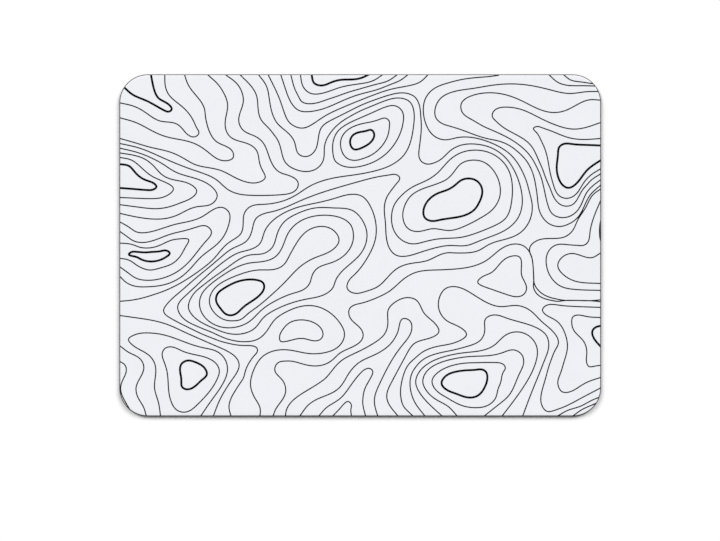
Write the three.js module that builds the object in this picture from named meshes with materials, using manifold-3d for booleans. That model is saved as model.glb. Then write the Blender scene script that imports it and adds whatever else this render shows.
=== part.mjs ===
// A thin cloth mouse pad, in millimetres, +Z up.
// It lies on its sole, with the origin on the desk under its middle and its long side along X.
// Four laminated layers, from the desk up: a ribbed rubber sole, a foam rubber core,
// a bonding film and the printed cloth.

import * as THREE from 'three';
import { mergeVertices } from 'three/addons/utils/BufferGeometryUtils.js';
import Module from 'manifold-3d';

// The pad's outline at its widest, seen from above
const padLength = 352;
const padDepth = 250;
const cornerRadius = 20.8;
const cornerDivisions = 6;

// The sole: a thin rubber skin with raised wavy ribs that grip the desk
const soleThickness = 0.25;
const ribHeight = 0.25;
const ribWidth = 5;
const ribPitch = 10.4;
const ribWaveLength = 58;
const ribWaveHeight = 3.2;
const ribStepsPerWave = 6;
const ribRoot = 0.125;

// The foam core, and how far its die-cut edge bulges between the crushed top and bottom
const foamThickness = 1.875;
const foamBulge = 0.6;
const foamEdgeSteps = 6;

// The film that melts between foam and cloth, drawn back a little from the foam's cut edge
const filmThickness = 0.125;
const filmDrawback = 0.15;

// The cloth, whose cut edge is also drawn back, crushed thin and rolled up to its full thickness
const clothThickness = 0.5;
const clothDrawback = 0.15;
const clothCrushedThickness = 0.125;
const clothRollWidth = 0.6;
const clothRollSteps = 4;

const foamBase = ribHeight + soleThickness;
const filmBase = foamBase + foamThickness;
const clothBase = filmBase + filmThickness;

const wasm = await Module();
wasm.setup();

// The pad's outline drawn in by an inset, anticlockwise from above
function padOutline(inset) {
  const radius = cornerRadius - inset;
  const cornerX = padLength / 2 - cornerRadius;
  const cornerY = padDepth / 2 - cornerRadius;
  const outline = new THREE.Shape();
  outline.absarc(cornerX, -cornerY, radius, -Math.PI / 2, 0);
  outline.absarc(cornerX, cornerY, radius, 0, Math.PI / 2);
  outline.absarc(-cornerX, cornerY, radius, Math.PI / 2, Math.PI);
  outline.absarc(-cornerX, -cornerY, radius, Math.PI, Math.PI * 1.5);
  return outline.getPoints(cornerDivisions);
}

// A closed layer through outlines stacked from the bottom up, each with its height and inset
function stackedLayer(levels) {
  const rings = levels.map((level) => padOutline(level.inset));
  const count = rings[0].length;
  const top = (levels.length - 1) * count;
  const positions = rings.flatMap((ring, i) => ring.flatMap((p) => [p.x, p.y, levels[i].height]));
  const faces = [];
  for (let start = 0; start < top; start += count) {
    for (let i = 0; i < count; i += 1) {
      const here = start + i;
      const next = start + ((i + 1) % count);
      faces.push(here, next, next + count, here, next + count, here + count);
    }
  }
  for (const [a, b, c] of THREE.ShapeUtils.triangulateShape(rings[0], [])) {
    faces.push(a, c, b);
  }
  for (const [a, b, c] of THREE.ShapeUtils.triangulateShape(rings[rings.length - 1], [])) {
    faces.push(top + a, top + b, top + c);
  }
  const geometry = new THREE.BufferGeometry();
  geometry.setAttribute('position', new THREE.Float32BufferAttribute(positions, 3));
  geometry.setIndex(faces);
  return geometry;
}

function toSolid(geometry) {
  const bare = geometry.clone();
  bare.deleteAttribute('normal');
  bare.deleteAttribute('uv');
  const merged = mergeVertices(bare);
  return new wasm.Manifold(new wasm.Mesh({
    numProp: 3,
    vertProperties: merged.attributes.position.array,
    triVerts: new Uint32Array(merged.index.array),
  }));
}

function toGeometry(solid) {
  const { vertProperties, triVerts } = solid.getMesh();
  const geometry = new THREE.BufferGeometry();
  geometry.setAttribute('position', new THREE.BufferAttribute(vertProperties, 3));
  geometry.setIndex(new THREE.BufferAttribute(triVerts, 1));
  return geometry;
}

// One rib, a wavy strip whose plan follows a sine, standing on the desk and rooted in the skin
function gripRib(centreY) {
  const steps = Math.ceil(padLength / ribWaveLength / 2) * ribStepsPerWave;
  const stepLength = ribWaveLength / ribStepsPerWave;
  const near = [];
  const far = [];
  for (let step = -steps; step <= steps; step += 1) {
    const wave = ribWaveHeight * Math.sin((2 * Math.PI * step) / ribStepsPerWave);
    near.push(new THREE.Vector2(step * stepLength, centreY + wave - ribWidth / 2));
    far.unshift(new THREE.Vector2(step * stepLength, centreY + wave + ribWidth / 2));
  }
  const plan = new THREE.Shape([...near, ...far]);
  return new THREE.ExtrudeGeometry(plan, { depth: ribHeight + ribRoot, bevelEnabled: false });
}

// The skin is cut with the foam, so the ribs run off its edge as they do on the uncut sheet
function gripSole() {
  const skin = toSolid(stackedLayer([
    { height: ribHeight, inset: foamBulge },
    { height: foamBase, inset: foamBulge },
  ]));
  const cutter = toSolid(stackedLayer([
    { height: 0, inset: foamBulge },
    { height: foamBase, inset: foamBulge },
  ]));
  const reach = Math.ceil((padDepth / 2 + ribWaveHeight + ribWidth / 2) / ribPitch);
  let sole = skin;
  for (let rib = -reach; rib <= reach; rib += 1) {
    sole = sole.add(toSolid(gripRib(rib * ribPitch)).intersect(cutter));
  }
  return toGeometry(sole);
}

// The blade pinches the foam's faces, so its cut edge stands proud at mid-height
function foamCore() {
  const levels = [];
  for (let step = 0; step <= foamEdgeSteps; step += 1) {
    const rise = step / foamEdgeSteps;
    const bulge = foamBulge * Math.sin(Math.PI * rise);
    levels.push({ height: foamThickness * rise, inset: foamBulge - bulge });
  }
  return stackedLayer(levels);
}

function bondingFilm() {
  const inset = foamBulge + filmDrawback;
  return stackedLayer([
    { height: 0, inset },
    { height: filmThickness, inset },
  ]);
}

function printedCloth() {
  const cutInset = foamBulge + clothDrawback;
  const levels = [{ height: 0, inset: cutInset }];
  for (let step = 0; step <= clothRollSteps; step += 1) {
    const turn = (Math.PI / 2) * (step / clothRollSteps);
    const rise = (clothThickness - clothCrushedThickness) * Math.sin(turn);
    const draw = clothRollWidth * (1 - Math.cos(turn));
    levels.push({ height: clothCrushedThickness + rise, inset: cutInset + draw });
  }
  return stackedLayer(levels);
}

const mousePad = new THREE.Group();
mousePad.name = 'mouse_pad';

function addLayer(name, geometry, base, finish) {
  const layer = new THREE.Mesh(geometry, new THREE.MeshStandardMaterial(finish));
  layer.name = name;
  layer.position.z = base;
  mousePad.add(layer);
}

addLayer('grip_sole', gripSole(), 0, { color: 0x1d1d1f, roughness: 0.7, metalness: 0 });
addLayer('foam_core', foamCore(), foamBase, { color: 0x2b2b2d, roughness: 0.95, metalness: 0 });
addLayer('bonding_film', bondingFilm(), filmBase, { color: 0xd9d8d2, roughness: 0.45, metalness: 0 });
addLayer('printed_cloth', printedCloth(), clothBase, { color: 0xeff1f5, roughness: 0.9, metalness: 0 });

export default mousePad;
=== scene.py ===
"""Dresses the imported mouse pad: its cloth with the contour print, its foam, its film and its ribbed sole.

The pad is a laminate of thin sheets cut by one blade. Lengths are in metres in the frame's own axes: X runs
along the pad's long side, Y up its short side as the photograph shows it, and the desk is at height zero.
"""

import logging
import math
from collections.abc import Iterable
from dataclasses import dataclass
from enum import Enum

import bmesh
import bpy
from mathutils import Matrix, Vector, noise


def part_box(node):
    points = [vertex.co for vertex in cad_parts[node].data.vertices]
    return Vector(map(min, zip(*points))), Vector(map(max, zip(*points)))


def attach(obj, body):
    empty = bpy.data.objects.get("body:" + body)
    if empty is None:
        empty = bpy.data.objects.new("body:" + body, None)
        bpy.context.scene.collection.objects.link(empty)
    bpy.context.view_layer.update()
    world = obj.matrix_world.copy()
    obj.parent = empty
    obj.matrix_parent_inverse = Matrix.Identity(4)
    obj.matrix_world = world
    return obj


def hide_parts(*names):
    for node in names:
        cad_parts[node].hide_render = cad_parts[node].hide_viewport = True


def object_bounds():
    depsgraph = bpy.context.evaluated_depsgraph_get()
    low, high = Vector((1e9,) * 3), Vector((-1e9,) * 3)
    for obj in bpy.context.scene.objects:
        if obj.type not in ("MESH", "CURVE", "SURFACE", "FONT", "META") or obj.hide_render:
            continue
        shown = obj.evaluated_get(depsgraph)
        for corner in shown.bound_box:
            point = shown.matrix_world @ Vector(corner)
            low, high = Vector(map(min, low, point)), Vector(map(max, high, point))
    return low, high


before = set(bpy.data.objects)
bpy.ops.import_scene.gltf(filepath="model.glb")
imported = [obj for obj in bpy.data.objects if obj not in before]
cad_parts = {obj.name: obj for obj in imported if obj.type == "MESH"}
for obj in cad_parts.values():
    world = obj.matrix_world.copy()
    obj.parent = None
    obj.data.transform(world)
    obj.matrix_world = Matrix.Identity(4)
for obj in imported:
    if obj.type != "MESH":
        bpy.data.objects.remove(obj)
cad_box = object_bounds()

log = logging.getLogger("mouse_pad")

BODY = "root"
MM = 0.001
UP = Vector((0, 0, 1))
PAD_CORNER = 20.8 * MM
MERGE_DISTANCE = 0.0005 * MM
CUT_PRECISION = 0.0001 * MM
LOOKS_DOWN = -0.5

Places = tuple[tuple[float, float], ...]
Colour = tuple[float, float, float]
Span = tuple[float, float]
WHOLE: Span = (0.0, 1.0)


# Shapes that several pieces share


@dataclass(frozen=True)
class Outline:
    """A rounded rectangle round the origin, which is the shape that the blade cuts.

    Attributes:
        length: Its size along X.
        depth: Its size along Y.
        radius: The radius of its corners.
        corner_steps: How many straight steps make one corner.
    """

    length: float
    depth: float
    radius: float
    corner_steps: int = 16

    @classmethod
    def of_node(cls, node: str) -> "Outline":
        """Takes the outline of a node of the frame.

        Args:
            node: The node's name.

        Returns:
            The node's outline, its corners concentric with the pad's own.
        """
        low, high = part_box(node)
        drawback = (cad_box[1].x - high.x + low.x - cad_box[0].x) / 2
        return cls(high.x - low.x, high.y - low.y, PAD_CORNER - drawback)

    @property
    def area(self) -> float:
        """The area inside the outline."""
        return self.length * self.depth - (4 - math.pi) * self.radius**2

    def inset(self, by: float) -> "Outline":
        """The same outline moved inwards by a distance."""
        return Outline(self.length - 2 * by, self.depth - 2 * by, self.radius - by, self.corner_steps)

    def distance_inside(self, place: Vector) -> float:
        """Measures how far a place is from the nearest side.

        Args:
            place: The place, whose height doesn't count.

        Returns:
            The distance, negative where the place is outside.
        """
        beyond_x = abs(place.x) - self.length / 2 + self.radius
        beyond_y = abs(place.y) - self.depth / 2 + self.radius
        rounded = math.hypot(max(beyond_x, 0), max(beyond_y, 0))
        return self.radius - rounded - min(max(beyond_x, beyond_y), 0)

    def face(self, bm: bmesh.types.BMesh, height: float) -> bmesh.types.BMFace:
        """Adds one flat face of this outline that looks up.

        Args:
            bm: The mesh that gets the face.
            height: The face's height.

        Returns:
            The new face.
        """
        older = set(bm.faces)
        corners = bmesh.ops.create_grid(bm, x_segments=1, y_segments=1, size=0.5)["verts"]
        bmesh.ops.scale(bm, vec=(self.length, self.depth, 1), verts=corners)
        bmesh.ops.translate(bm, vec=(0, 0, height), verts=corners)
        bmesh.ops.bevel(
            bm,
            geom=corners,
            offset=self.radius,
            offset_type="OFFSET",
            segments=self.corner_steps,
            profile=0.5,
            affect="VERTICES",
            material=-1,
        )
        return next(face for face in bm.faces if face not in older)

    def sides(self) -> list[tuple[Vector, Vector]]:
        """Lists the outline's straight steps.

        Returns:
            The middle of each step with its outward direction.
        """
        bm = bmesh.new()
        steps = []
        for loop in self.face(bm, 0).loops:
            start, end = loop.vert.co, loop.link_loop_next.vert.co
            steps.append(((start + end) / 2, (end - start).cross(UP).normalized()))
        bm.free()
        return steps

    def cut(self, bm: bmesh.types.BMesh, geom: list, discard: bool) -> None:
        """Cuts geometry along the upright planes through the outline's steps.

        Args:
            bm: The mesh that is cut.
            geom: The vertices, edges and faces that the blade may meet.
            discard: Whether what lies outside is thrown away.
        """
        for middle, outward in self.sides():
            geom = [element for element in geom if element.is_valid]
            cut = bmesh.ops.bisect_plane(
                bm,
                geom=geom,
                dist=CUT_PRECISION,
                plane_co=middle,
                plane_no=outward,
                clear_outer=discard,
            )
            geom = cut["geom"]


@dataclass(frozen=True)
class Photograph:
    """How the photograph, taken from straight above, lies on the pad's face.

    Attributes:
        size: Its width and height in pixels.
        pad_middle: The pixel over the middle of the pad.
        pixel: The size of one pixel on the face.
    """

    size: tuple[int, int] = (720, 541)
    pad_middle: tuple[float, float] = (359.72, 244.9)
    pixel: float = 0.73 * MM

    def on_pad(self, place: tuple[float, float]) -> Vector:
        """Turns a pixel's place, counted from the left and the top, into one on the pad."""
        across, down = place
        middle_across, middle_down = self.pad_middle
        return Vector((across - middle_across, middle_down - down, 0)) * self.pixel

    @property
    def centre(self) -> Vector:
        """The place on the pad's plane under the middle of the picture."""
        width, height = self.size
        return self.on_pad(((width - 1) / 2, (height - 1) / 2))


@dataclass(frozen=True)
class MapPlace:
    """Where a piece, as seen from above, lies on its texture map, which is one unit wide.

    Attributes:
        middle: The place on the map of the pad's middle.
        width: How much of the map's width the piece's length takes.
    """

    middle: tuple[float, float]
    width: float

    def of(self, place: Vector, length: float, spread: float = 1.0) -> tuple[float, float]:
        """Finds a place of the piece on the map.

        Args:
            place: The place on the piece, whose height doesn't count.
            length: The piece's length.
            spread: How much further out than that the place is drawn.

        Returns:
            The place on the map.
        """
        across, up = self.middle
        scale = self.width * spread / length
        return across + place.x * scale, up + place.y * scale


@dataclass
class Layer:
    """One layer of the laminate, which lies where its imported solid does.

    Attributes:
        node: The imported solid's name.
    """

    node: str

    def __post_init__(self) -> None:
        """Takes the layer's place from the frame."""
        low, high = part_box(self.node)
        self.bottom, self.top = low.z, high.z
        self.outline = Outline.of_node(self.node)


def everything(bm: bmesh.types.BMesh) -> list:
    """All vertices, edges and faces of a mesh."""
    return [*bm.verts, *bm.edges, *bm.faces]


def only(kind: type, elements: Iterable) -> list:
    """Picks one kind out of mixed vertices, edges and faces."""
    return [element for element in elements if isinstance(element, kind)]


def open_edges(bm: bmesh.types.BMesh) -> list[bmesh.types.BMEdge]:
    """The edges where a mesh has only one face."""
    return [edge for edge in bm.edges if edge.is_boundary]


def flowing_directions(run: list[Vector], closed: bool, sweeps: int = 40) -> list[Vector]:
    """Finds how a curve must pass its places so that its bend changes smoothly all along.

    Each place gives one equation of a cubic spline, and a sweep solves them one after the other.

    Args:
        run: The places.
        closed: Whether the curve goes on from the last place to the first.
        sweeps: How many times the directions are brought nearer to each other.

    Returns:
        The curve's direction at each place, for each metre from place to place.
    """
    count = len(run)
    following = [run[(i + 1) % count] for i in range(count)]
    steps = [(end - start).length for start, end in zip(run, following)]
    slopes = [(end - start) / step for start, end, step in zip(run, following, steps)]
    found = list(slopes)
    for _ in range(sweeps):
        for i in range(count):
            after = (i + 1) % count
            if closed or 0 < i < count - 1:
                pull = 3 * (steps[i] * slopes[i - 1] + steps[i - 1] * slopes[i])
                pull -= steps[i] * found[i - 1] + steps[i - 1] * found[after]
                found[i] = pull / (2 * (steps[i - 1] + steps[i]))
            elif i == 0:
                found[i] = (3 * slopes[i] - found[after]) / 2
            else:
                found[i] = (3 * slopes[i - 1] - found[i - 1]) / 2
    return found


def in_scene(name: str, data: bpy.types.ID) -> bpy.types.Object:
    """Adds an object with its mesh, lamp or lens to the scene."""
    made = bpy.data.objects.new(name, data)
    bpy.context.scene.collection.objects.link(made)
    return made


def mesh_in_scene(bm: bmesh.types.BMesh, name: str, material: bpy.types.Material) -> bpy.types.Object:
    """Turns a finished mesh into an object of the scene.

    Args:
        bm: The mesh, which is freed here.
        name: The object's name.
        material: Its finish.

    Returns:
        The new object, at the origin, with its place in its mesh.
    """
    mesh = bpy.data.meshes.new(name)
    bm.to_mesh(mesh)
    bm.free()
    mesh.materials.append(material)
    return in_scene(name, mesh)


def finished_piece(
    bm: bmesh.types.BMesh, name: str, material: bpy.types.Material, crease: float = 35
) -> bpy.types.Object:
    """Turns a finished mesh into a piece that rides on the pad.

    Args:
        bm: The mesh, which is freed here.
        name: The piece's name.
        material: Its finish.
        crease: The angle in degrees from which an edge stays sharp.

    Returns:
        The new object, at the origin, with its place in its mesh.
    """
    piece = mesh_in_scene(bm, name, material)
    piece.data.shade_smooth()
    piece.data.set_sharp_from_angle(angle=math.radians(crease))
    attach(piece, BODY)
    return piece


# Finishes


class Graph:
    """A node tree that is filled one node at a time, each linked as it is added."""

    def __init__(self, tree: bpy.types.NodeTree) -> None:
        """Starts on a tree and empties it."""
        self.tree = tree
        tree.nodes.clear()

    def add(self, kind: str, inputs: dict | None = None, **settings: object) -> bpy.types.Node:
        """Adds one node.

        Args:
            kind: The node's type, without the word that all shader nodes start with.
            inputs: Values or other nodes' outputs, by the name or number of the input.
            **settings: The node's own settings.

        Returns:
            The new node.
        """
        node = self.tree.nodes.new(kind if kind.startswith("NodeGroup") else f"ShaderNode{kind}")
        for name, value in settings.items():
            setattr(node, name, value)
        for socket, value in (inputs or {}).items():
            if isinstance(value, bpy.types.NodeSocket):
                self.tree.links.new(value, node.inputs[socket])
            else:
                node.inputs[socket].default_value = value
        return node

    def math(self, operation: str, *values: object) -> bpy.types.NodeSocket:
        """Adds one sum.

        Args:
            operation: The sum's name.
            *values: Its numbers, each a value or an output.

        Returns:
            The sum's output.
        """
        return self.add("Math", dict(enumerate(values)), operation=operation).outputs[0]

    def vector_math(self, operation: str, vector: object, other: object) -> bpy.types.NodeSocket:
        """Adds one sum of two vectors, or of a vector and its scale.

        Args:
            operation: The sum's name.
            vector: The vector that it starts from.
            other: The other vector or the scale, as a value or an output.

        Returns:
            The sum's output.
        """
        socket = "Scale" if operation == "SCALE" else 1
        return self.add("VectorMath", {0: vector, socket: other}, operation=operation).outputs[0]

    def noise(
        self, vector: bpy.types.NodeSocket, scale: float, detail: float = 2.0, output: int | str = 0
    ) -> bpy.types.NodeSocket:
        """Adds one noise pattern.

        Args:
            vector: The place to read the pattern at.
            scale: How many waves it has to one unit.
            detail: How many finer layers it has.
            output: The output that is used, which is the single value unless another is named.

        Returns:
            The pattern, round a half.
        """
        inputs = {"Vector": vector, "Scale": scale, "Detail": detail}
        return self.add("TexNoise", inputs).outputs[output]

    def stretched(
        self, vector: bpy.types.NodeSocket, scale: tuple[float, float, float]
    ) -> bpy.types.NodeSocket:
        """Scales a place by a different amount along each axis."""
        return self.add("Mapping", {"Vector": vector, "Scale": scale}).outputs[0]

    def blend(self, share: bpy.types.NodeSocket, low: object, high: object) -> bpy.types.NodeSocket:
        """Blends two colours.

        Args:
            share: How much of the second colour shows.
            low: The first colour, as three numbers or an output.
            high: The second colour, in the same way.

        Returns:
            The blended colour.
        """
        inputs = {0: share}
        for socket, colour in ((6, low), (7, high)):
            inputs[socket] = colour if isinstance(colour, bpy.types.NodeSocket) else (*colour, 1)
        return self.add("Mix", inputs, data_type="RGBA").outputs[2]

    def between(self, value: bpy.types.NodeSocket, span: Span, onto: Span = WHOLE) -> bpy.types.NodeSocket:
        """Maps a value smoothly from one span to another.

        Args:
            value: The value to map.
            span: The start and end of its span.
            onto: What the start and the end become.

        Returns:
            The mapped value, held inside the new span.
        """
        inputs = {"Value": value, 1: span[0], 2: span[1], 3: onto[0], 4: onto[1]}
        return self.add("MapRange", inputs, interpolation_type="SMOOTHSTEP").outputs[0]

    def bump(self, height: bpy.types.NodeSocket, relief: float, strength: float) -> bpy.types.NodeSocket:
        """Turns a height into the surface's slope.

        Args:
            height: The height, as a share of the relief.
            relief: How far the surface stands up.
            strength: How much of that the light picks out.

        Returns:
            The surface's direction.
        """
        inputs = {"Strength": strength, "Distance": relief, "Height": height}
        return self.add("Bump", inputs).outputs[0]


class MaterialGraph(Graph):
    """The graph of a new material."""

    def __init__(self, name: str) -> None:
        """Starts a material of the given name."""
        self.material = bpy.data.materials.new(name)
        self.material.use_nodes = True
        super().__init__(self.material.node_tree)

    def ended(self, shader: str, inputs: dict) -> bpy.types.Material:
        """Ends the graph in one shader.

        Args:
            shader: The shader's type.
            inputs: Its values or other nodes' outputs, by the name of the input.

        Returns:
            The finished material.
        """
        lit = self.add(shader, inputs)
        self.add("OutputMaterial", {"Surface": lit.outputs[0]})
        return self.material


class Effect:
    """A shader node group with named inputs and outputs, which several materials share."""

    def __init__(self, name: str, inputs: dict[str, float], outputs: Iterable[str]) -> None:
        """Makes the group's sockets.

        Args:
            name: The group's name.
            inputs: The name and first value of each input.
            outputs: The names of the outputs.
        """
        self.tree = bpy.data.node_groups.new(name, "ShaderNodeTree")
        for socket, value in inputs.items():
            made = self.tree.interface.new_socket(socket, in_out="INPUT", socket_type="NodeSocketFloat")
            made.default_value = value
        for socket in outputs:
            self.tree.interface.new_socket(socket, in_out="OUTPUT", socket_type="NodeSocketFloat")
        self.graph = Graph(self.tree)
        self.given = self.graph.add("NodeGroupInput").outputs
        self.result = self.graph.add("NodeGroupOutput").inputs

    def millimetres(self) -> bpy.types.NodeSocket:
        """The place on the object, in millimetres."""
        place = self.graph.add("TexCoord").outputs["Object"]
        return self.graph.stretched(place, (1 / MM, 1 / MM, 1 / MM))

    def give(self, **outputs: bpy.types.NodeSocket) -> None:
        """Plugs values into the group's outputs, whose spaces are written as underscores."""
        for name, value in outputs.items():
            self.tree.links.new(value, self.result[name.replace("_", " ")])

    def placed(self, graph: Graph, **inputs: float) -> bpy.types.Node:
        """Puts the group into a material.

        Args:
            graph: The material's graph.
            **inputs: The group's values there, with spaces written as underscores.

        Returns:
            The group's node.
        """
        node = graph.add("Group", node_tree=self.tree)
        for name, value in inputs.items():
            node.inputs[name.replace("_", " ")].default_value = value
        return node


def woven_threads() -> Effect:
    """Builds the plain weave: threads along X and Y that pass over and under each other.

    Returns:
        The effect, with the weave's height and the slow change of tone along its threads.
    """
    effect = Effect("woven_threads", {"Thread Pitch": 0.4, "Wander": 0.25}, ("Height", "Tone"))
    graph, given = effect.graph, effect.given
    sway_waves, sway_layers, sway_middle = 0.31, 3.0, (0.5, 0.5, 0.5)
    crossing_rise, level = 0.4, 0.6
    slubs_across, slubs_along, slub_share = 1.9, 0.16, 0.6
    patch_waves, patch_share = 0.03, 0.4
    place = effect.millimetres()
    sway = graph.noise(place, sway_waves, sway_layers, "Color")
    sway = graph.vector_math("SUBTRACT", sway, sway_middle)
    sway = graph.vector_math("SCALE", sway, given["Wander"])
    axes = graph.add("SeparateXYZ", {0: graph.vector_math("ADD", place, sway)}).outputs
    counts, crests = [], []
    for axis in ("X", "Y"):
        thread = graph.math("DIVIDE", axes[axis], given["Thread Pitch"])
        counts.append(graph.math("FLOOR", thread))
        across = graph.math("MULTIPLY", graph.math("FRACT", thread), math.pi)
        crests.append(graph.math("SINE", across))
    over = graph.math("PINGPONG", graph.math("ADD", *counts), 1.0)
    warp, weft = crests
    warp_up = graph.math("MULTIPLY", warp, graph.math("MULTIPLY_ADD", weft, crossing_rise, level))
    weft_up = graph.math("MULTIPLY", weft, graph.math("MULTIPLY_ADD", warp, crossing_rise, level))
    height = graph.add("Mix", {0: over, 2: weft_up, 3: warp_up}).outputs[0]
    along_y = graph.noise(graph.stretched(place, (slubs_across, slubs_along, 1.0)), 1.0)
    along_x = graph.noise(graph.stretched(place, (slubs_along, slubs_across, 1.0)), 1.0)
    slubs = graph.add("Mix", {0: over, 2: along_x, 3: along_y}).outputs[0]
    patches = graph.math("MULTIPLY", graph.noise(place, patch_waves), patch_share)
    effect.give(Height=height, Tone=graph.math("MULTIPLY_ADD", slubs, slub_share, patches))
    return effect


def rubber_grain() -> Effect:
    """Builds foamed rubber: cells of many sizes, some cut open, between walls with a fine grain.

    Returns:
        The effect, with the surface's height, a mask of its open cells and a slow bloom over it.
    """
    inputs = {"Cell Size": 0.3, "Open Share": 0.7, "Grain": 0.4}
    effect = Effect("rubber_grain", inputs, ("Height", "Cells", "Bloom"))
    graph, given = effect.graph, effect.given
    warp_waves = 0.9
    bowl_rim = (0.02, 0.3)
    shallow, deeper = 0.3, 0.7
    grain_waves, grain_layers = 9.0, 4.0
    bloom_waves, bloom_layers = 0.06, 3.0
    place = effect.millimetres()
    spaced = graph.vector_math("SCALE", place, graph.math("DIVIDE", 1.0, given["Cell Size"]))
    warped = graph.vector_math("ADD", spaced, graph.noise(spaced, warp_waves, output="Color"))
    pattern = {"Vector": warped, "Scale": 1.0}
    walls = graph.add("TexVoronoi", pattern, feature="DISTANCE_TO_EDGE").outputs[0]
    cells = graph.add("TexVoronoi", pattern).outputs["Color"]
    chance, depth = graph.add("SeparateColor", {0: cells}).outputs[:2]
    opened = graph.math("LESS_THAN", chance, given["Open Share"])
    bowl = graph.math("MULTIPLY", graph.between(walls, bowl_rim), opened)
    hollow = graph.math("MULTIPLY", bowl, graph.math("MULTIPLY_ADD", depth, deeper, shallow))
    grain = graph.math("MULTIPLY", graph.noise(place, grain_waves, grain_layers), given["Grain"])
    effect.give(
        Height=graph.math("SUBTRACT", grain, hollow),
        Cells=hollow,
        Bloom=graph.noise(place, bloom_waves, bloom_layers),
    )
    return effect


@dataclass(frozen=True)
class PrintedCloth:
    """The woven face, bare or dyed.

    Attributes:
        name: The material's name.
        dark: The colour of the dull tone, and deep between the threads as painted shade.
        light: The colour of the bright tone, and on the threads' crests clear of that shade.
        relief: How far the threads stand up.
        strength: How much of that the light picks out.
        sheen: How much the fibres' ends catch light at a low angle.
        sheen_roughness: How widely they scatter it.
        gloss: How much light the fibres mirror.
        thread_pitch: How far the threads are apart, in millimetres.
        wander: How far they stray, in millimetres.
        thread_shade_share: How much a thread's height counts in the colour, as painted shade, beside its
            tone.
        colour_span: The height, as painted shade, and tone from which and up to which the colours blend.
        tone_span: The tone from which and up to which the roughness changes.
        roughness: The roughness at its start and end.
    """

    name: str
    dark: Colour
    light: Colour
    relief: float = 0.03 * MM
    strength: float = 0.6
    sheen: float = 0.04
    sheen_roughness: float = 0.45
    gloss: float = 0.12
    thread_pitch: float = 0.4
    wander: float = 0.25
    thread_shade_share: float = 0.5
    colour_span: Span = (0.45, 1.15)
    tone_span: Span = (0.3, 0.7)
    roughness: Span = (0.96, 0.88)

    def material(self, weave: Effect) -> bpy.types.Material:
        """Builds the material.

        Args:
            weave: The weave, which the bare and the dyed cloth share.

        Returns:
            The material.
        """
        graph = MaterialGraph(self.name)
        threads = weave.placed(graph, Thread_Pitch=self.thread_pitch, Wander=self.wander).outputs
        height, tone = threads["Height"], threads["Tone"]
        # Painted shade: the colour darkens where the weave dips between threads; the tone is the yarn's
        # own.
        lit = graph.math("MULTIPLY_ADD", height, self.thread_shade_share, tone)
        inputs = {
            "Base Color": graph.blend(graph.between(lit, self.colour_span), self.dark, self.light),
            "Roughness": graph.between(tone, self.tone_span, self.roughness),
            "Normal": graph.bump(height, self.relief, self.strength),
            "Specular IOR Level": self.gloss,
            "Sheen Weight": self.sheen,
            "Sheen Roughness": self.sheen_roughness,
        }
        return graph.ended("BsdfPrincipled", inputs)


@dataclass(frozen=True)
class BlackRubber:
    """Black foamed rubber, either cut open or with its moulded skin.

    Attributes:
        name: The material's name.
        cell_size: How large its cells are, in millimetres.
        open_share: The share of the cells that are open.
        grain: How rough the skin is between them.
        relief: How deep the cells are.
        roughness: The skin's roughness.
        crest: The height above the desk up to which the skin turns lighter and smoother.
        skin: The skin's colour.
        cell_shade: The painted shade deep in an open cell.
        cell_shade_span: How deep a cell is where that painted shade starts and where it is full.
        bloom: The skin's colour where it has bloomed with age.
        bloom_span: The bloom from which and up to which the colour changes.
        patch_span: The bloom from which and up to which the roughness changes.
        patch_roughness: How much rougher or smoother it gets.
        crest_colour: The crests' lighter colour, partly rubbed wear and partly a painted highlight.
        polish: How much smoother it is there.
        strength: How much of the relief the light picks out.
        gloss: How much light the rubber mirrors.
    """

    name: str
    cell_size: float
    open_share: float
    grain: float
    relief: float
    roughness: float
    crest: float = 0.0
    skin: Colour = (0.026, 0.026, 0.028)
    cell_shade: Colour = (0.006, 0.006, 0.007)
    cell_shade_span: Span = (0.05, 0.7)
    bloom: Colour = (0.044, 0.045, 0.048)
    bloom_span: Span = (0.35, 0.7)
    patch_span: Span = (0.3, 0.7)
    patch_roughness: float = 0.08
    crest_colour: Colour = (0.062, 0.063, 0.067)
    polish: float = 0.2
    strength: float = 0.8
    gloss: float = 0.35

    def material(self, rubber: Effect) -> bpy.types.Material:
        """Builds the material.

        Args:
            rubber: The rubber's grain, which the foam and the sole share.

        Returns:
            The material.
        """
        graph = MaterialGraph(self.name)
        values = {"Cell_Size": self.cell_size, "Open_Share": self.open_share, "Grain": self.grain}
        surface = rubber.placed(graph, **values).outputs
        bloomed = graph.between(surface["Bloom"], self.bloom_span)
        colour = graph.blend(bloomed, self.skin, self.bloom)
        patchy = (self.roughness - self.patch_roughness, self.roughness + self.patch_roughness)
        roughness = graph.between(surface["Bloom"], self.patch_span, patchy)
        # Partly rubbed wear, partly a painted highlight: the crests lighter than the grooves.
        if self.crest:
            place = graph.add("TexCoord").outputs["Object"]
            height = graph.add("SeparateXYZ", {0: place}).outputs["Z"]
            crest_mask = graph.between(height, (0.0, self.crest), (1.0, 0.0))
            colour = graph.blend(crest_mask, colour, self.crest_colour)
            roughness = graph.math("MULTIPLY_ADD", crest_mask, -self.polish, roughness)
        inputs = {
            # Painted shade: the colour darkens towards the bottom of each open cell.
            "Base Color": graph.blend(graph.between(surface["Cells"], self.cell_shade_span), colour, self.cell_shade),
            "Roughness": roughness,
            "Normal": graph.bump(surface["Height"], self.relief, self.strength),
            "Specular IOR Level": self.gloss,
        }
        return graph.ended("BsdfPrincipled", inputs)


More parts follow.
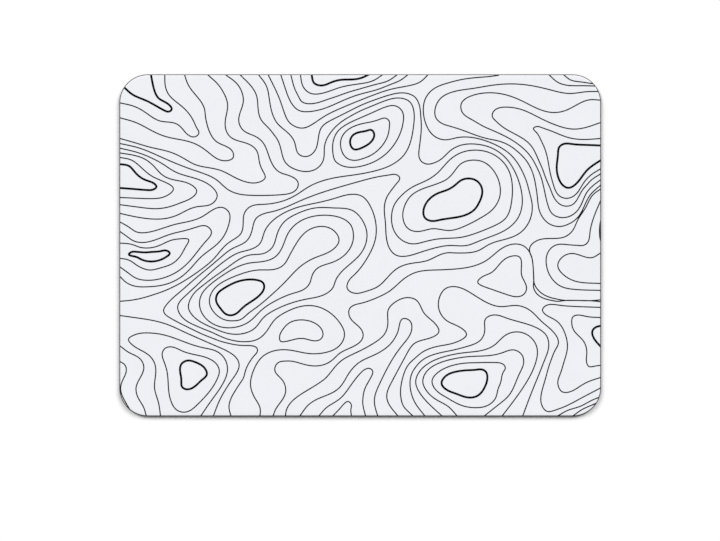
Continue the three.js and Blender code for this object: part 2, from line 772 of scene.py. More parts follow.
@dataclass(frozen=True)
class HotMelt:
    """The milky hot-melt film that has soaked into the foam below it.

    Attributes:
        name: The material's name.
        milky: The colour where the film is whole.
        soaked: The colour where it has soaked in.
        cloud_waves: How many clouds there are to one metre.
        cloud_layers: How many finer layers they have.
        soak_span: The cloud from which and up to which the colour changes.
        patch_span: The cloud from which and up to which the roughness changes.
        roughness: The roughness at its start and end.
        relief: How far the film stands up.
        strength: How much of that the light picks out.
    """

    name: str = "hot_melt_film"
    milky: Colour = (0.42, 0.41, 0.38)
    soaked: Colour = (0.12, 0.12, 0.115)
    cloud_waves: float = 600.0
    cloud_layers: float = 4.0
    soak_span: Span = (0.35, 0.65)
    patch_span: Span = (0.3, 0.7)
    roughness: Span = (0.42, 0.62)
    relief: float = 0.02 * MM
    strength: float = 0.4

    def material(self) -> bpy.types.Material:
        """Builds the material and returns it."""
        graph = MaterialGraph(self.name)
        place = graph.add("TexCoord").outputs["Object"]
        clouds = graph.noise(place, self.cloud_waves, self.cloud_layers)
        inputs = {
            "Base Color": graph.blend(graph.between(clouds, self.soak_span), self.milky, self.soaked),
            "Roughness": graph.between(clouds, self.patch_span, self.roughness),
            "Normal": graph.bump(clouds, self.relief, self.strength),
        }
        return graph.ended("BsdfPrincipled", inputs)


# The cloth and its print


@dataclass
class ClothFace(Layer):
    """The woven face sheet, crushed thin along the blade's cut and rising from there in a small roll.

    Attributes:
        node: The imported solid's name.
        crushed: The sheet's thickness at the cut.
        roll_width: How far in from the cut the face is level.
        roll_steps: How many straight steps make the roll.
        flat_margin: The width of the level band beside the roll.
        face_map: Where the face lies on the texture map.
        hidden_map: Where the hidden side lies on it.
        roll_draw: How far the roll is drawn in on it, for each metre below the face.
    """

    node: str = "printed_cloth"
    crushed: float = 0.125 * MM
    roll_width: float = 0.6 * MM
    roll_steps: int = 4
    flat_margin: float = 1.5 * MM
    face_map: MapPlace = MapPlace((0.5, 0.36), 0.99)
    hidden_map: MapPlace = MapPlace((0.15, 0.87), 0.25)
    roll_draw: float = 2.0

    def roll_insets(self) -> list[float]:
        """How far in from the cut each step of the roll ends."""
        turns = [math.pi / 2 * step / self.roll_steps for step in range(1, self.roll_steps + 1)]
        return [self.roll_width * (1 - math.cos(turn)) for turn in turns]

    def height_at(self, inside: float) -> float:
        """The height of the face at a distance in from the cut.

        Args:
            inside: The distance from the cut.

        Returns:
            The height above the desk.
        """
        left = 1 - min(max(inside / self.roll_width, 0), 1)
        rise = self.top - self.bottom - self.crushed
        return self.bottom + self.crushed + rise * math.sqrt(1 - left**2)

    def map_face(self, bm: bmesh.types.BMesh) -> None:
        """Lays the sheet's texture map: the face as seen from above, the hidden side small beside it."""
        layer = bm.loops.layers.uv.new("OFBake")
        length = self.outline.length
        for face in bm.faces:
            hidden = face.normal.z < LOOKS_DOWN
            for loop in face.loops:
                place = loop.vert.co
                if hidden:
                    loop[layer].uv = self.hidden_map.of(place, length)
                else:
                    spread = 1 - (self.top - place.z) * self.roll_draw
                    loop[layer].uv = self.face_map.of(place, length, spread)

    def build(self, finish: bpy.types.Material) -> bpy.types.Object:
        """Models the sheet.

        Args:
            finish: The cloth's material.

        Returns:
            The sheet.
        """
        bm = bmesh.new()
        underside = self.outline.face(bm, self.bottom)
        grown = bmesh.ops.extrude_face_region(bm, geom=[underside])["geom"]
        rim = only(bmesh.types.BMVert, grown)
        bmesh.ops.translate(bm, vec=(0, 0, self.crushed), verts=rim)
        bmesh.ops.recalc_face_normals(bm, faces=bm.faces)
        face = max(bm.faces, key=lambda candidate: candidate.calc_center_median().z)
        reached = 0.0
        for inset in self.roll_insets():
            rise = self.height_at(inset) - self.height_at(reached)
            bmesh.ops.inset_region(bm, faces=[face], thickness=inset - reached, depth=rise)
            reached = inset
        bmesh.ops.inset_region(bm, faces=[face], thickness=self.flat_margin)
        self.map_face(bm)
        return finished_piece(bm, "cloth_face", finish)


class Pen(Enum):
    """The two weights of the print's lines, as half their width."""

    FINE = 0.45 * MM
    BOLD = 0.79 * MM


@dataclass(frozen=True)
class Contour:
    """One contour line of the print.

    Attributes:
        pen: The line's weight.
        closed: Whether it closes on itself, where the others run off the cloth.
        places: Where it passes, in steps of the photograph's pixels from its left and top.
    """

    pen: Pen
    closed: bool
    places: Places


@dataclass
class ContourPrint:
    """The map-like print: ink that has soaked into the face and shows as a thin layer on it.

    Attributes:
        cloth: The sheet that carries it.
        photograph: The picture in whose pixels the lines' places are given.
        contours: The lines.
        layer: How far the ink stands above the sheet.
        overrun: How far an open line is drawn on past its ends, before it is cut off.
        pieces_per_place: How many straight pieces join two places of a line.
        corner_turn: The angle of the upper corners of a line's six-sided section.
        border: The width of the band along the cut where the lines may bend.
        line_map: Where the lines lie on the texture map.
    """

    cloth: ClothFace
    photograph: Photograph
    contours: list[Contour]
    layer: float = 0.03 * MM
    overrun: float = 3 * MM
    pieces_per_place: int = 8
    corner_turn: float = math.radians(60)
    border: float = 3 * MM
    line_map: MapPlace = MapPlace((0.5, 0.5), 0.99)

    def run_of(self, contour: Contour) -> list[Vector]:
        """Lists where a line passes on the pad.

        Args:
            contour: The line.

        Returns:
            Its places on the pad, with one more past the cut at each end of an open line.
        """
        run = [self.photograph.on_pad(place) for place in contour.places]
        if contour.closed:
            return run
        before = run[0] + (run[0] - run[1]).normalized() * self.overrun
        after = run[-1] + (run[-1] - run[-2]).normalized() * self.overrun
        return [before, *run, after]

    def draw(self, bm: bmesh.types.BMesh, pen: Pen) -> None:
        """Draws all lines of one weight as smooth curves and adds them to a mesh.

        Args:
            bm: The mesh that gets the lines.
            pen: The weight.
        """
        curve = bpy.data.curves.new("contour_lines", "CURVE")
        curve.dimensions = "3D"
        curve.twist_mode = "Z_UP"
        curve.bevel_depth = pen.value
        curve.bevel_resolution = 1
        curve.resolution_u = self.pieces_per_place
        curve.use_fill_caps = True
        for contour in self.contours:
            if contour.pen is not pen:
                continue
            run = self.run_of(contour)
            spline = curve.splines.new("BEZIER")
            spline.bezier_points.add(len(run) - 1)
            directions = flowing_directions(run, contour.closed)
            for i, (point, place, direction) in enumerate(zip(spline.bezier_points, run, directions)):
                before, after = run[i - 1], run[(i + 1) % len(run)]
                point.co = place
                point.handle_left = place - direction * (place - before).length / 3
                point.handle_right = place + direction * (after - place).length / 3
            spline.use_cyclic_u = contour.closed
        holder = bpy.data.objects.new("contour_lines", curve)
        older = set(bm.verts)
        bm.from_mesh(holder.to_mesh())
        holder.to_mesh_clear()
        bpy.data.objects.remove(holder)
        drawn = [vert for vert in bm.verts if vert not in older]
        flattening = self.layer / (pen.value * math.sin(self.corner_turn))
        bmesh.ops.scale(bm, vec=(1, 1, flattening), verts=drawn)

    def trim(self, bm: bmesh.types.BMesh) -> None:
        """Cuts the lines off at the cloth's edge and scores them where the edge's roll bends them.

        Args:
            bm: The drawn lines.
        """
        outline = self.cloth.outline
        outline.cut(bm, everything(bm), discard=True)
        bmesh.ops.holes_fill(bm, edges=open_edges(bm), sides=0)
        for inset in self.cloth.roll_insets():
            near = [
                face
                for face in bm.faces
                if outline.distance_inside(face.calc_center_median()) < self.border
            ]
            edges = {edge for face in near for edge in face.edges}
            verts = {vert for edge in edges for vert in edge.verts}
            in_order = [
                *(vert for vert in bm.verts if vert in verts),
                *(edge for edge in bm.edges if edge in edges),
                *near,
            ]
            outline.inset(inset).cut(bm, in_order, discard=False)

    def map_lines(self, bm: bmesh.types.BMesh) -> None:
        """Lays the lines' texture map, as seen from above."""
        layer = bm.loops.layers.uv.new("OFBake")
        for face in bm.faces:
            for loop in face.loops:
                loop[layer].uv = self.line_map.of(loop.vert.co, self.cloth.outline.length)

    def build(self, finish: bpy.types.Material) -> bpy.types.Object:
        """Models the print.

        Args:
            finish: The ink's material.

        Returns:
            The print.
        """
        bm = bmesh.new()
        for pen in Pen:
            self.draw(bm, pen)
        bmesh.ops.remove_doubles(bm, verts=bm.verts, dist=MERGE_DISTANCE)
        self.trim(bm)
        for vert in bm.verts:
            vert.co.z += self.cloth.height_at(self.cloth.outline.distance_inside(vert.co))
        bmesh.ops.recalc_face_normals(bm, faces=bm.faces)
        self.map_lines(bm)
        return finished_piece(bm, "contour_print", finish, crease=80)


# The rubber below


@dataclass
class FoamSlab(Layer):
    """The foam rubber body, whose cut side springs back a little fuller than the blade left it.

    Attributes:
        node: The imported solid's name.
        bulge: How far the side stands out at half its height.
        rings: How many outlines make the side.
        side_step: The length of the side's short steps.
        unevenness: How far the side moves in and out.
        coarse_waves: How many coarse waves it has to one metre.
        fine_waves: How many fine waves it has to one metre.
        wave_share: How much each kind of wave counts.
        lean: How far the side lies further in on the whole.
    """

    node: str = "foam_core"
    bulge: float = 0.6 * MM
    rings: int = 9
    side_step: float = 1.0 * MM
    unevenness: float = 0.035 * MM
    coarse_waves: float = 180.0
    fine_waves: float = 900.0
    wave_share: float = 0.6
    lean: float = 0.5

    def ring(self, bm: bmesh.types.BMesh, height: float) -> list[bmesh.types.BMEdge]:
        """Adds the side's outline at one height.

        Args:
            bm: The mesh that gets it.
            height: The height.

        Returns:
            The outline's edges, in short steps.
        """
        rise = (height - self.bottom) / (self.top - self.bottom)
        older = set(bm.edges)
        face = self.outline.inset(self.bulge * (1 - math.sin(math.pi * rise))).face(bm, height)
        bmesh.ops.delete(bm, geom=[face], context="FACES_ONLY")
        for edge in [edge for edge in bm.edges if edge not in older]:
            cuts = max(round(edge.calc_length() / self.side_step) - 1, 0)
            if cuts:
                bmesh.ops.subdivide_edges(bm, edges=[edge], cuts=cuts)
        return [edge for edge in bm.edges if edge not in older]

    def roughen(self, bm: bmesh.types.BMesh) -> None:
        """Moves the side in and out a little, as a blade leaves foam."""
        for vert in bm.verts:
            coarse = noise.noise(vert.co * self.coarse_waves)
            fine = noise.noise(vert.co * self.fine_waves)
            moved = self.wave_share * coarse + self.wave_share * fine - self.lean
            vert.co += Vector((vert.normal.x, vert.normal.y, 0)) * self.unevenness * moved

    def build(self, finish: bpy.types.Material) -> bpy.types.Object:
        """Models the slab.

        Args:
            finish: The foam's material.

        Returns:
            The slab.
        """
        bm = bmesh.new()
        lower = self.ring(bm, self.bottom)
        bmesh.ops.holes_fill(bm, edges=lower, sides=0)
        for step in range(1, self.rings):
            height = self.bottom + (self.top - self.bottom) * step / (self.rings - 1)
            upper = self.ring(bm, height)
            bmesh.ops.bridge_loops(bm, edges=lower + upper)
            lower = upper
        bmesh.ops.holes_fill(bm, edges=lower, sides=0)
        bmesh.ops.recalc_face_normals(bm, faces=bm.faces)
        bm.normal_update()
        self.roughen(bm)
        return finished_piece(bm, "foam_slab", finish)


@dataclass
class GripSole(Layer):
    """The denser skin below, moulded with raised wavy ribs that grip the desk.

    Attributes:
        node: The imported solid's name.
        rib_pitch: How far the ribs are apart.
        rib_height: How far they stand out.
        crest_half_width: Half the width of their level crests.
        flank_width: The width of the slope on each side of a crest.
        flank_steps: How many straight steps make a slope.
        wave_length: The length of the ribs' waves.
        wave_height: How far a wave sways to each side.
        steps_per_wave: How many straight steps make a wave.
    """

    node: str = "grip_sole"
    rib_pitch: float = 10.4 * MM
    rib_height: float = 0.25 * MM
    crest_half_width: float = 2.1 * MM
    flank_width: float = 0.8 * MM
    flank_steps: int = 4
    wave_length: float = 58 * MM
    wave_height: float = 3.2 * MM
    steps_per_wave: int = 20

    def sway(self, along: float) -> float:
        """How far the ribs lie to one side at a place along the pad."""
        return self.wave_height * math.sin(math.tau * along / self.wave_length)

    def profile(self) -> list[tuple[float, float]]:
        """Lists the ribs' profile across the pad.

        Returns:
            Places along Y with their heights, from one side past the cut to the other.
        """
        flank = []
        for step in range(self.flank_steps + 1):
            share = step / self.flank_steps
            height = self.bottom + self.rib_height * (1 - math.cos(math.pi * share)) / 2
            flank.append((self.crest_half_width + self.flank_width * share, height))
        rib = [(-reach, height) for reach, height in reversed(flank)] + flank
        reach = math.ceil((self.outline.depth / 2 + self.wave_height) / self.rib_pitch)
        return [
            (number * self.rib_pitch + across, height)
            for number in range(-reach, reach + 1)
            for across, height in rib
        ]

    def build(self, finish: bpy.types.Material) -> bpy.types.Object:
        """Models the sole.

        Args:
            finish: The sole's material.

        Returns:
            The sole.
        """
        bm = bmesh.new()
        step = self.wave_length / self.steps_per_wave
        steps = math.ceil(self.outline.length / 2 / step)
        along = -steps * step
        row = [
            bm.verts.new((along, across + self.sway(along), height))
            for across, height in self.profile()
        ]
        edges = [bm.edges.new(pair) for pair in zip(row, row[1:])]
        for _ in range(2 * steps):
            grown = bmesh.ops.extrude_edge_only(bm, edges=edges)["geom"]
            edges = only(bmesh.types.BMEdge, grown)
            aside = self.sway(along + step) - self.sway(along)
            bmesh.ops.translate(bm, vec=(step, aside, 0), verts=only(bmesh.types.BMVert, grown))
            along += step
        self.outline.cut(bm, everything(bm), discard=True)
        grown = bmesh.ops.extrude_edge_only(bm, edges=open_edges(bm))["geom"]
        for vert in only(bmesh.types.BMVert, grown):
            vert.co.z = self.top
        bmesh.ops.holes_fill(bm, edges=open_edges(bm), sides=0)
        bmesh.ops.recalc_face_normals(bm, faces=bm.faces)
        return finished_piece(bm, "ribbed_sole", finish)


@dataclass
class BondingFilm:
    """The film between the cloth and the foam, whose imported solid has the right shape."""

    node: str = "bonding_film"

    def dress(self, finish: bpy.types.Material) -> bpy.types.Object:
        """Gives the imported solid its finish.

        Args:
            finish: The film's material.

        Returns:
            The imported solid.
        """
        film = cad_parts[self.node]
        for slot in film.material_slots:
            slot.material = finish
        return film


# The studio


@dataclass
class Studio:
    """A plain white floor under soft light, with a camera straight above as in the photograph.

    Attributes:
        photograph: The picture whose frame the camera takes.
        pad_height: The height of the pad's face.
        floor_size: The width of the floor.
        floor_tone: How much light the floor throws back.
        sky: How bright the even sky is.
        key_share: How much light each of the two soft lights gives the floor.
        key_tilt: How far they are from straight above, in degrees.
        key_turn: How far they are to each side of the picture's top, in degrees.
        key_spread: How wide they are, in degrees.
        lens: The camera's focal length, in millimetres.
    """

    photograph: Photograph
    pad_height: float
    floor_size: float = 40.0
    floor_tone: float = 0.86
    sky: float = 0.36
    key_share: float = 0.42
    key_tilt: float = 54.0
    key_turn: float = 46.0
    key_spread: float = 30.0
    lens: float = 100.0

    def lay_floor(self) -> None:
        """Adds the floor."""
        colour = (self.floor_tone, self.floor_tone, self.floor_tone, 1)
        matt = MaterialGraph("white_floor").ended("BsdfDiffuse", {"Color": colour})
        bm = bmesh.new()
        bmesh.ops.create_grid(bm, x_segments=1, y_segments=1, size=self.floor_size / 2)
        floor = mesh_in_scene(bm, "studio_floor", matt)

    def light(self) -> None:
        """Adds the sky and two soft lights from the picture's upper left and upper right.

        The sky lights the pad evenly and looks as white as the floor.
        """
        world = bpy.data.worlds.new("studio_sky")
        world.use_nodes = True
        graph = Graph(world.node_tree)
        white = (1, 1, 1, 1)
        lit = graph.add("Background", {"Color": white, "Strength": self.sky})
        seen = graph.add("Background", {"Color": white, "Strength": 1.0})
        by_camera = graph.add("LightPath").outputs["Is Camera Ray"]
        sky = graph.add("MixShader", {0: by_camera, 1: lit.outputs[0], 2: seen.outputs[0]})
        graph.add("OutputWorld", {"Surface": sky.outputs[0]})
        bpy.context.scene.world = world
        tilt = math.radians(self.key_tilt)
        lamp = bpy.data.lights.new("key_light", "SUN")
        lamp.energy = math.pi * self.key_share / math.cos(tilt)
        lamp.angle = math.radians(self.key_spread)
        for turn in (-self.key_turn, self.key_turn):
            in_scene("key_light", lamp).rotation_euler = (-tilt, 0, math.radians(turn))

    def point_camera(self) -> None:
        """Adds the camera, which looks straight down."""
        lens = bpy.data.cameras.new("camera")
        lens.lens = self.lens
        width = self.photograph.size[0] * self.photograph.pixel
        distance = width * self.lens / lens.sensor_width
        camera = in_scene("camera", lens)
        camera.location = self.photograph.centre + UP * (self.pad_height + distance)
        bpy.context.scene.camera = camera
        bpy.context.scene.view_settings.view_transform = "Standard"

    def build(self) -> None:
        """Sets up the floor, the light and the camera."""
        self.lay_floor()
        self.light()
        self.point_camera()


# The print's lines

BOLD_LOOPS: tuple[Places, ...] = (
    ((128.4, 253.9), (131.2, 251.5), (134.3, 251.2), (138, 251.5), (145, 251.9), (152, 251.4),
     (160, 250.7), (166.5, 250.3), (169.2, 252.7), (166.1, 256.1), (161.3, 258.8), (150, 261),
     (140, 258.5), (136.3, 256.6), (132.6, 255.7)),
    ((349.6, 142), (352.3, 134.9), (360.3, 131.4), (366, 130.3), (370.9, 129.5), (373.6, 133.2),
     (371.1, 140.7), (362, 147), (353.1, 148.6)),
    ((179.6, 371), (181, 363.5), (187, 360.1), (195.9, 362.1), (203.8, 367.2), (206.3, 374),
     (201.1, 379.7), (194.3, 385.9), (186.2, 388.8), (181.9, 386.8), (180.8, 379)),
    ((423, 210), (426.6, 201.3), (436.3, 193.3), (448.7, 188.5), (455.2, 184.1), (461, 179.6), (468, 178),
     (475.5, 179.9), (480.2, 184.8), (481.8, 191), (478.4, 202.5), (475, 207.9), (469.3, 212.5),
     (453, 217.3), (440, 219.3), (430.5, 220.4), (424.2, 217)),
    ((441.1, 383), (444.4, 376.3), (455, 371.3), (468, 369.7), (475, 369.3), (482.2, 369.2),
     (485.5, 371.5), (486.8, 375.3), (484.2, 386.7), (476.8, 395.4), (468, 397), (455, 393), (445, 388.5)),
    ((215.6, 300), (217.3, 292.9), (222.1, 288.7), (229.6, 284.3), (238, 280.8), (249, 279), (258.3, 280),
     (262.4, 282.2), (263.7, 286), (259, 294.8), (248.5, 302.5), (243.9, 305.8), (240.4, 309),
     (236.6, 312.5), (229.5, 314.8), (224.8, 313.2), (220.4, 308.5)),
)

BOLD_RUNS: tuple[Places, ...] = (
    ((150.6, 75), (153.3, 88), (158.2, 97.8), (168, 103.8), (171, 109.2), (168.7, 111), (163.3, 109.7),
     (158, 106.8), (145, 99.8), (131.5, 93.7), (124.2, 87.4)),
    ((119.5, 163.7), (128.3, 165.4), (134.4, 171.6), (143, 178.6), (149, 180.9), (153.8, 183.2),
     (155.9, 186.2), (153, 188.9), (147, 189.6), (133, 188.5), (119.5, 187.5)),
    ((604, 212), (600.4, 221.5), (599.5, 230), (600.2, 238.5), (604, 248)),
    ((311.3, 75), (313.2, 82), (321, 85), (331, 81.8), (340, 79.4), (355, 78.7), (363, 76.6), (368, 74.2)),
    ((600, 325.3), (595, 326.9), (592, 330.3), (593, 337), (600, 346)),
    ((600, 145), (585, 144.4), (572, 143.6), (562.8, 143.6), (558.6, 146.9), (557.5, 153.3),
     (556.2, 166.6), (559.3, 180.5), (562.4, 184.8), (567, 187.3), (576.3, 182.6), (586.3, 170),
     (592.6, 164.7), (600, 159.9)),
)

FINE_LOOPS: tuple[Places, ...] = (
    ((355, 125.2), (362.5, 123), (370, 121.5), (379, 118.9), (385, 117.7), (388.6, 120.5), (389, 125),
     (387.5, 134.5), (384.8, 140.5), (380.8, 146.2), (370, 155), (363, 157.9), (355, 159.8),
     (346.3, 157.6), (340.8, 149), (340.8, 138), (346.7, 129.8)),
    ((161.7, 353), (165, 347.6), (171, 346.4), (182, 350.6), (196, 354.5), (209.2, 358.5), (217.5, 365.8),
     (218.8, 371), (217.2, 377.3), (209, 391), (197, 404), (186, 411.4), (177, 410), (171, 402),
     (168, 388), (166.7, 372), (163.5, 361)),
    ((360, 117.3), (347, 123.4), (337.1, 131.1), (332.5, 142), (332.6, 154), (334.4, 159.9),
     (337.8, 163.2), (349, 166.8), (362, 165.4), (376, 160), (388.2, 150.7), (397.6, 137.5),
     (402.6, 122.2), (401.7, 110.8), (395, 105.4), (385, 106.5), (373, 111.6)),
    ((402.3, 216), (404.2, 205.2), (410.4, 195.4), (420, 189.2), (434, 184.2), (440.3, 181.8),
     (445.6, 179.2), (450.6, 174.8), (453.6, 171.2), (460, 163.6), (472.5, 159.6), (484, 162), (493, 170),
     (499, 183), (499.3, 196), (492, 209), (480.2, 217.4), (462.2, 226.5), (448, 230), (432, 228.2),
     (418, 231), (407.8, 228.2)),
    ((431.6, 380), (435, 389), (446, 397), (460, 404.5), (475, 407.2), (488, 404.5), (495.4, 396.8),
     (497.6, 388.5), (500.1, 382), (501.4, 375.5), (502.7, 371.7), (504.8, 367.6), (503.8, 364.8),
     (501, 362.9), (494, 362), (485, 362), (475, 362.2), (465, 362.6), (447.8, 366.3), (441.5, 369.2),
     (436.1, 373.1)),
    ((391, 217), (393.5, 205), (401, 195), (412, 186.5), (427.3, 179.3), (438.2, 171.3), (447.3, 161.3),
     (458.3, 153.2), (472, 149.7), (487, 151.5), (499, 158), (508.2, 169.9), (511.8, 185), (511.1, 201),
     (505.4, 217.4), (492.4, 225.9), (476.3, 232.4), (460, 236.9), (440, 238.2), (425, 241), (411, 243.3),
     (400.3, 238.8), (393, 229)),
    ((279, 337.2), (281.4, 330.3), (289, 322.3), (301, 319.4), (313, 322), (321.6, 329.8), (322.4, 334.8),
     (319.9, 338.8), (313, 340.3), (307, 338.9), (301, 337.9), (290, 339.9), (284.5, 341.1),
     (280.1, 340.7)),
    ((361, 252), (349, 264), (338, 275), (334.9, 280.5), (332.9, 286.2), (323.6, 294.2), (306, 298.6),
     (290, 302.8), (272.9, 310.2), (266.6, 314.1), (262.2, 318), (255, 327), (243, 333), (228, 333),
     (212, 327.3), (196.8, 319.2), (191.3, 314), (188.1, 308), (191, 296.6), (195.6, 290.6), (201, 286),
     (214.6, 275.7), (227.5, 266.6), (240, 258.1), (250, 254.4), (263, 253), (272, 246.5), (276.5, 234),
     (283.3, 221.8), (297.4, 212.8), (315, 207.4), (335, 207.5), (352, 210), (362, 220), (366.5, 234)),
    ((239, 265.5), (225, 273), (211, 283), (203.9, 289.8), (201.1, 294), (199.1, 305.3), (201.7, 313),
     (205.8, 318.4), (219.5, 326.2), (236, 326.5), (250, 320.2), (260, 310.5), (275, 300.3), (292, 293),
     (305.2, 287.6), (309.4, 282.3), (311.2, 276.3), (316, 268.5), (330, 262.5), (343.8, 254.8),
     (351.8, 242.8), (352.4, 230), (349.9, 224), (345.3, 219.8), (330, 215), (312, 216), (297.2, 222.3),
     (287.5, 233), (282.5, 245.1), (275.4, 255.8), (262, 261.1), (250, 262.4)),
    ((477.2, 281.6), (480.9, 276.9), (491, 272), (501.3, 261.2), (511, 255.7), (519, 256.5), (521, 264.7),
     (521.3, 275.3), (526, 287), (524.6, 292.3), (520.2, 295.6), (514.3, 296.1), (507, 294.3),
     (490, 288.4), (483, 285.9)),
    ((239, 274), (225, 280), (213.3, 288.8), (208.9, 301), (215, 313.5), (227, 320), (233.5, 320.3),
     (239.7, 319.2), (247.1, 313.5), (254.9, 307.7), (270.4, 294.9), (285.3, 280.7), (300.1, 265.8),
     (315, 257), (331, 250), (338.5, 240), (332.2, 229.3), (319, 226), (306.2, 230.8), (296.3, 242.2),
     (287.5, 257.9), (284.1, 263.3), (277.3, 267.9), (258, 269.5)),
)

